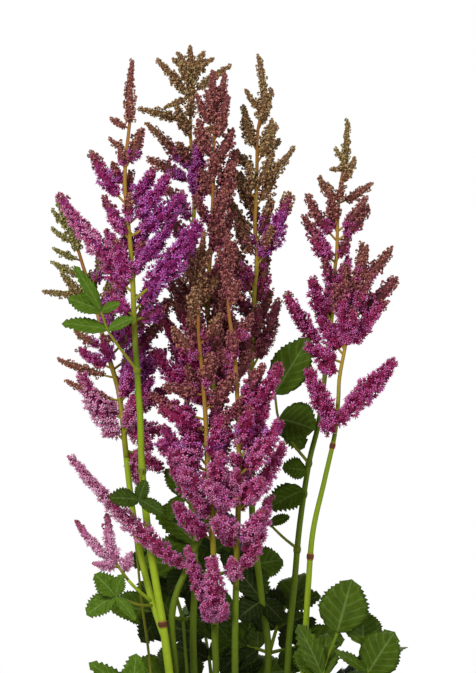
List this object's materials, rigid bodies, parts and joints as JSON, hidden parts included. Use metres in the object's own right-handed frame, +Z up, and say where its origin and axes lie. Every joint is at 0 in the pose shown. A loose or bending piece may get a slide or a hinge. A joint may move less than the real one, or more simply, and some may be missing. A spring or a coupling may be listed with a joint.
{
  "type": "astilbe plant",
  "caption": "Flowering perennial in a round tapered nursery pot: feathery upright plumes of tiny florets on slim stalks above toothed, divided leaves.",
  "frame": {"origin": "centre of the pot's flat underside", "axes": "+Z up along the stalks, -Y towards the viewer of the plant's front, +X to that viewer's right"},
  "size_m": [0.336, 0.3063, 0.673],
  "materials": {
    "pot": "satin",
    "soil": "matte",
    "stalk": "satin",
    "leaf": "satin",
    "plume": "matte"
  },
  "bodies": {
    "root": {"stalk_left": "stalk", "stalk_top_back": "stalk", "stalk_centre_tall": "stalk", "stalk_centre_front": "stalk", "stalk_centre_right": "stalk", "stalk_right_centre": "stalk", "stalk_right_back": "stalk", "stalk_right_front": "stalk", "plume_front_left": "plume", "plume_back_left": "plume", "plume_side_shoot": "plume", "plume_top_back": "plume", "plume_centre_tall": "plume", "plume_centre_front": "plume", "plume_centre_right": "plume", "plume_right_centre": "plume", "plume_right_back": "plume", "plume_right_front": "plume", "leaf_right": "leaf", "leaf_left": "leaf", "leaf_mound_1": "leaf", "leaf_mound_2": "leaf", "leaf_mound_3": "leaf", "leaf_mound_4": "leaf", "leaf_mound_5": "leaf", "leaf_mound_6": "leaf", "leaf_mound_7": "leaf", "leaf_mound_8": "leaf", "leaf_mound_9": "leaf", "pot": "pot", "soil": "soil"}
  },
  "joints": []
}
